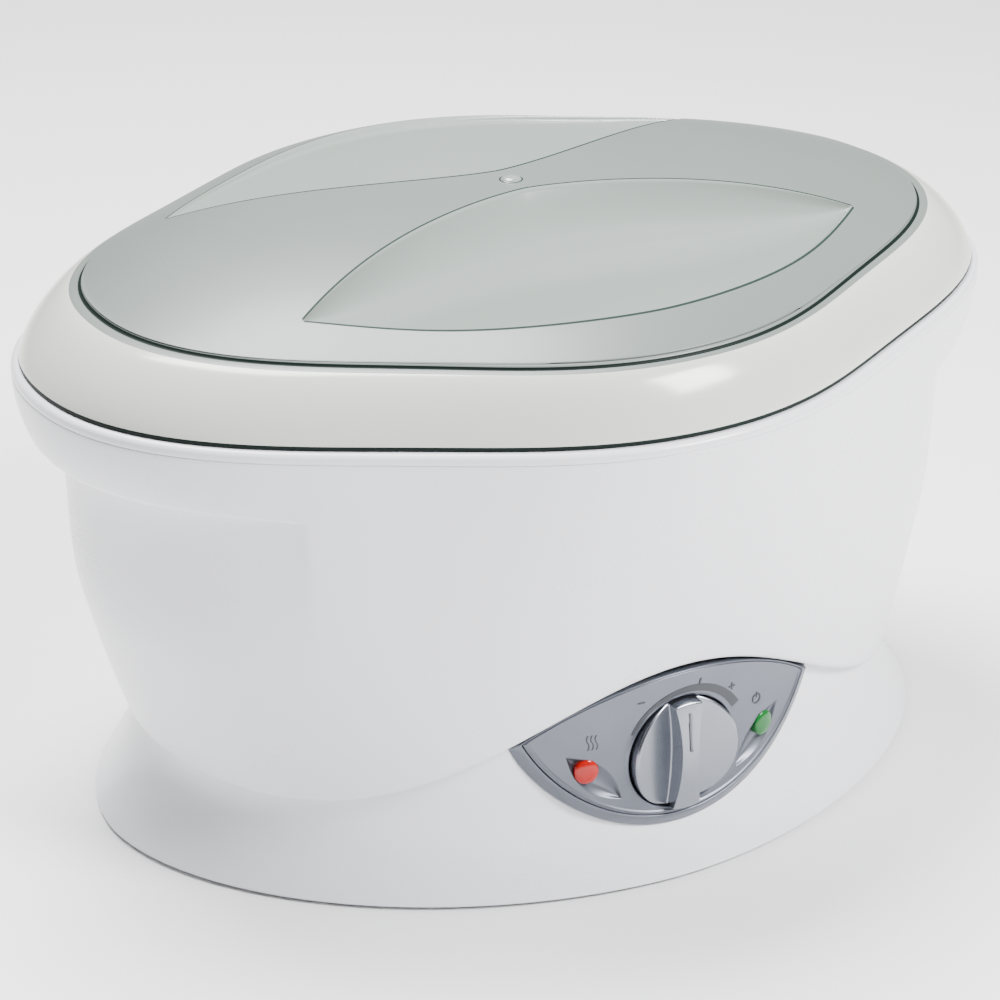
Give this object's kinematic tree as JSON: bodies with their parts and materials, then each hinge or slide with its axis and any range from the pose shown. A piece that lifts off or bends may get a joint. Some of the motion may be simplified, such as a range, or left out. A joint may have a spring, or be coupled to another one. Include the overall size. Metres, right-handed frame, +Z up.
{
  "type": "paraffin wax bath",
  "caption": "Countertop paraffin wax bath: white oval housing on a flared base, translucent lift-off lid, silver dial panel and heated tub.",
  "frame": {"origin": "middle of the standing surface under the feet", "axes": "+Z up, +X along the length, -Y the front with the dial"},
  "size_m": [0.4, 0.305, 0.239],
  "materials": {
    "frosted_lid": "satin",
    "white_shell": "gloss",
    "tub_coating": "satin",
    "silicone": "matte",
    "grate_plastic": "matte",
    "foot_rubber": "matte",
    "zinc_steel": "satin",
    "shield_aluminium": "satin",
    "heater_sheath": "matte",
    "copper_bulb": "satin",
    "ceramic_fuse": "matte",
    "silver_panel": "satin",
    "scale_print": "matte",
    "silver_knob": "satin",
    "pointer_print": "gloss",
    "bakelite": "matte",
    "red_lens": "gloss",
    "green_lens": "gloss",
    "lamp_glass": "gloss",
    "grey_plastic": "matte",
    "wire_sleeve": "matte"
  },
  "bodies": {
    "shell": {"rim_ring": "white_shell", "housing": "white_shell", "tub": "tub_coating", "tub_gasket": "silicone", "base": "white_shell", "base_plate": "grey_plastic", "feet": "foot_rubber", "foot_screws": "zinc_steel", "tub_studs": "zinc_steel", "stud_nuts": "zinc_steel", "heat_shield": "shield_aluminium", "heater_element": "heater_sheath", "heater_clamps": "zinc_steel", "sensor_bulb": "copper_bulb", "thermal_fuse": "ceramic_fuse", "control_panel": "silver_panel", "panel_frame": "silver_panel", "dial_scale": "scale_print", "panel_icons": "scale_print", "thermostat_body": "bakelite", "thermostat_nut": "zinc_steel", "red_lamp_lens": "red_lens", "green_lamp_lens": "green_lens", "signal_lamps": "lamp_glass", "lamp_holder": "grey_plastic", "terminal_block": "grey_plastic", "cord_bush": "grey_plastic", "cord_clamp": "grey_plastic", "clamp_screws": "zinc_steel", "internal_wires": "wire_sleeve"},
    "lid_body": {"lid": "frosted_lid"},
    "grate_body": {"grate": "grate_plastic"},
    "knob_body": {"knob": "silver_knob", "knob_pointer": "pointer_print", "thermostat_shaft": "zinc_steel"}
  },
  "joints": [
    {"name": "lid_lift", "type": "slide", "parent": "shell", "child": "lid_body", "axis": [0, 0, 1], "range_m": [0, 0.12]},
    {"name": "grate_lift", "type": "slide", "parent": "shell", "child": "grate_body", "axis": [0, 0, 1], "range_m": [0, 0.08]},
    {"name": "knob_turn", "type": "hinge", "parent": "shell", "child": "knob_body", "pos_m": [0, -0.1315, 0.052], "axis": [0, -1, 0], "range_deg": [-61, 61]}
  ]
}
